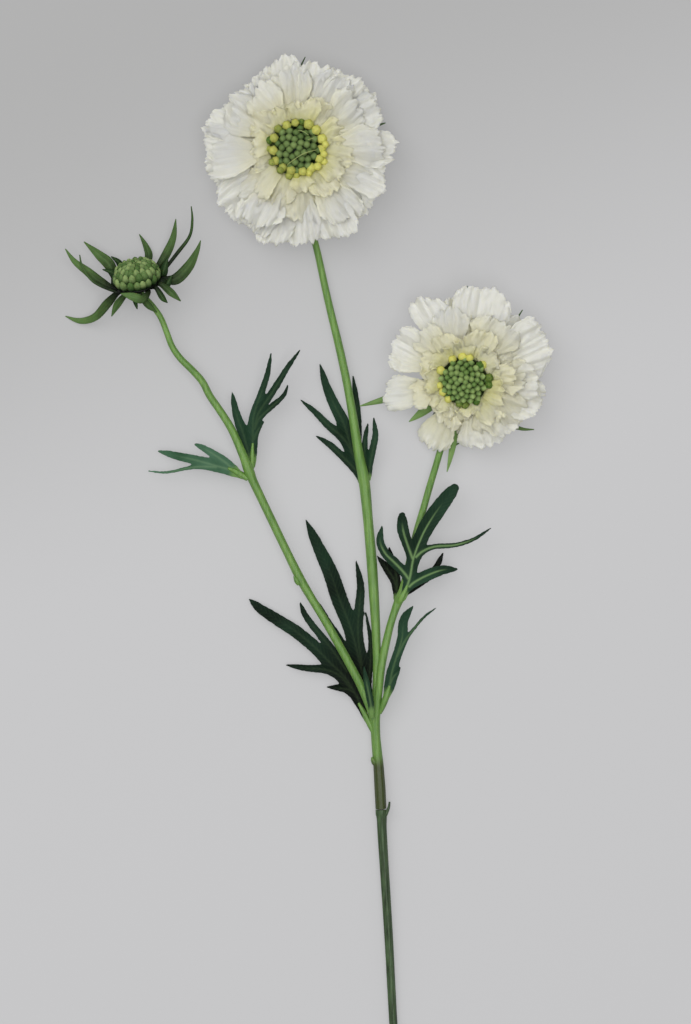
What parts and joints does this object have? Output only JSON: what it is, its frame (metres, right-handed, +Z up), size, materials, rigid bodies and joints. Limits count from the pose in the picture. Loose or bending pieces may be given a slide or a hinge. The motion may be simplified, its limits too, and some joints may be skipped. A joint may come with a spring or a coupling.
{
  "type": "scabiosa flower",
  "caption": "Branched cut stem of white scabiosa lying flat, with open ruffled blooms round green floret centres, a bracted bud and finely cut green leaves.",
  "frame": {"origin": "on the surface that the stem lies on, at the middle of the object's box in X and Y", "axes": "+Y runs along the stem from its cut end to the top bloom, +X points to the right-hand bloom, +Z points up out of the surface, the way the open blooms face"},
  "size_m": [0.2033, 0.4566, 0.0279],
  "materials": {
    "stem_dark": "satin dark green stem skin",
    "stem_light": "satin light green stem skin",
    "leaf": "thin dark green leaf with a pale midrib",
    "bract": "thin mid green bract",
    "petal": "thin white petal, cream towards its foot",
    "floret_green": "matt green closed florets",
    "floret_yellow": "matt yellow-green florets",
    "bud": "matt light green closed florets"
  },
  "bodies": {
    "root": {"stem_lower": "stem_dark", "stem_branched": "stem_light", "leaf_fork_back": "leaf", "leaf_fork_left": "leaf", "leaf_fork_front": "leaf", "leaf_fork_right": "leaf", "leaf_left_outer": "leaf", "leaf_left_upper": "leaf", "leaf_mid_left": "leaf", "leaf_mid_right": "leaf", "leaf_right_main": "leaf", "leaf_right_back": "leaf", "top_petals": "petal", "top_calyx": "bract", "top_disc": "floret_green", "top_yellow": "floret_yellow", "right_petals": "petal", "right_calyx": "bract", "right_disc": "floret_green", "right_yellow": "floret_yellow", "bud_head": "bud", "bud_bracts": "bract"}
  },
  "joints": []
}
